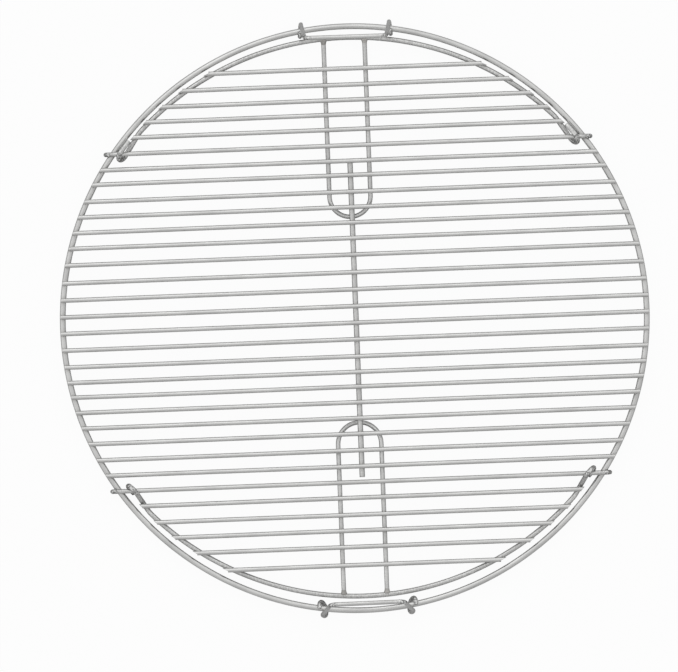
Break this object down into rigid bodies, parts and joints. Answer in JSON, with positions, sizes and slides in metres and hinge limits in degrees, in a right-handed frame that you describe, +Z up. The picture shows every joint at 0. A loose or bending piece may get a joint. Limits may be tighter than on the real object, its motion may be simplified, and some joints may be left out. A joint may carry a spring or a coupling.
{
  "type": "hinged round wire rack",
  "caption": "Round grid of welded wire with a hinged flap at each end, a stop loop under each flap and a loose bail handle at each end, for cooling or cooking food on.",
  "frame": {"origin": "centre of the rim in plan, on the plane the four hooked ends of the hinge rods stand on", "axes": "+X along the rods, +Y toward the back flap, +Z up"},
  "size_m": [0.5459, 0.5519, 0.0479],
  "materials": {
    "rim": "bright drawn wire, lightly brushed",
    "hinge_rod": "bright drawn wire, dulled at the bent ends",
    "spine": "bright drawn wire, lightly brushed",
    "rod": "bright drawn wire, lightly brushed",
    "flap_frame": "bright drawn wire, dulled at the bent eyes",
    "stop_loop": "bright drawn wire, lightly brushed",
    "flap_rod": "bright drawn wire, lightly brushed",
    "handle": "bright drawn wire, rubbed at the eyes"
  },
  "bodies": {
    "grid": {"outer_ring": "rim", "back_hinge_rod": "hinge_rod", "front_hinge_rod": "hinge_rod", "spine_wire": "spine", "centre_rod_01": "rod", "centre_rod_02": "rod", "centre_rod_03": "rod", "centre_rod_04": "rod", "centre_rod_05": "rod", "centre_rod_06": "rod", "centre_rod_07": "rod", "centre_rod_08": "rod", "centre_rod_09": "rod", "centre_rod_10": "rod", "centre_rod_11": "rod", "centre_rod_12": "rod", "centre_rod_13": "rod", "centre_rod_14": "rod", "centre_rod_15": "rod", "centre_rod_16": "rod", "centre_rod_17": "rod", "centre_rod_18": "rod", "centre_rod_19": "rod", "centre_rod_20": "rod"},
    "back_flap": {"back_flap_frame": "flap_frame", "back_stop_loop": "stop_loop", "back_flap_rod_1": "flap_rod", "back_flap_rod_2": "flap_rod", "back_flap_rod_3": "flap_rod", "back_flap_rod_4": "flap_rod", "back_flap_rod_5": "flap_rod"},
    "front_flap": {"front_flap_frame": "flap_frame", "front_stop_loop": "stop_loop", "front_flap_rod_1": "flap_rod", "front_flap_rod_2": "flap_rod", "front_flap_rod_3": "flap_rod", "front_flap_rod_4": "flap_rod", "front_flap_rod_5": "flap_rod"},
    "back_handle": {"back_handle": "handle"},
    "front_handle": {"front_handle": "handle"}
  },
  "joints": [
    {"name": "back_flap_hinge", "type": "hinge", "parent": "grid", "child": "back_flap", "pos_m": [0, 0.16007, 0.0129], "axis": [1, 0, 0], "range_deg": [0, 75]},
    {"name": "front_flap_hinge", "type": "hinge", "parent": "grid", "child": "front_flap", "pos_m": [0, -0.15168, 0.0129], "axis": [-1, 0, 0], "range_deg": [0, 75]},
    {"name": "back_handle_pivot", "type": "hinge", "parent": "grid", "child": "back_handle", "pos_m": [0.00149, 0.26711, 0.0084], "axis": [1, -0.0056, 0], "range_deg": [-110, 62]},
    {"name": "front_handle_pivot", "type": "hinge", "parent": "grid", "child": "front_handle", "pos_m": [0.00149, -0.26708, 0.0084], "axis": [-1, -0.0056, 0], "range_deg": [-110, 66]}
  ]
}
